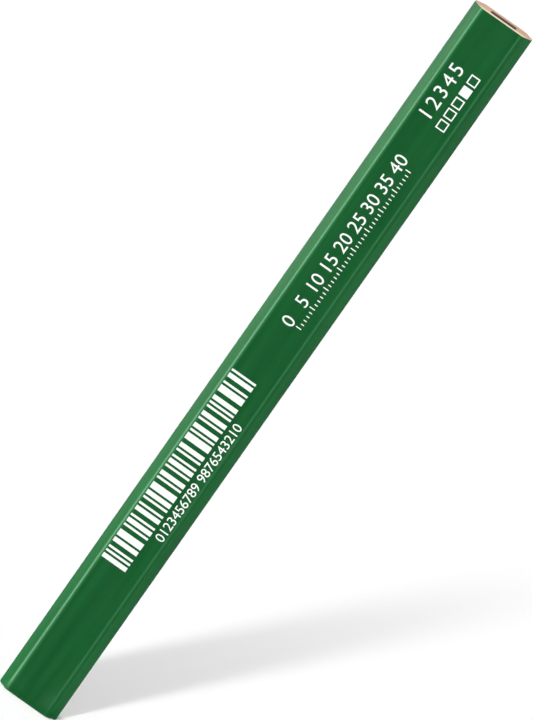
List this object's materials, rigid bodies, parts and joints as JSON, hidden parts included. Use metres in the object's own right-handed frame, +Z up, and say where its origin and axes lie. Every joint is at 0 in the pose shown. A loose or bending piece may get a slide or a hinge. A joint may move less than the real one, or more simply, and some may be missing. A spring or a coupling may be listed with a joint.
{
  "type": "carpenter pencil",
  "caption": "Unsharpened flat carpenter pencil: a green lacquered flattened octagon of wood, cut square, with a flat writing core showing at both ends.",
  "frame": {"origin": "middle of the square cut end that it stands on", "axes": "+X across its width, +Y through its thickness from the front wide face to the back one, +Z up along the pencil"},
  "size_m": [0.0142, 0.007, 0.175],
  "materials": {
    "wood": "bare sawn end grain, unfinished",
    "core": "fired graphite and clay, dull sheen",
    "glue": "dried wood glue",
    "primer": "matt cream undercoat",
    "lacquer": "glossy dark green lacquer",
    "print": "thin white stamped marking film"
  },
  "bodies": {
    "root": {"front_slat": "wood", "back_slat": "wood", "writing_core": "core", "glue_film": "glue", "primer_coat": "primer", "lacquer_coat": "lacquer"}
  },
  "joints": []
}
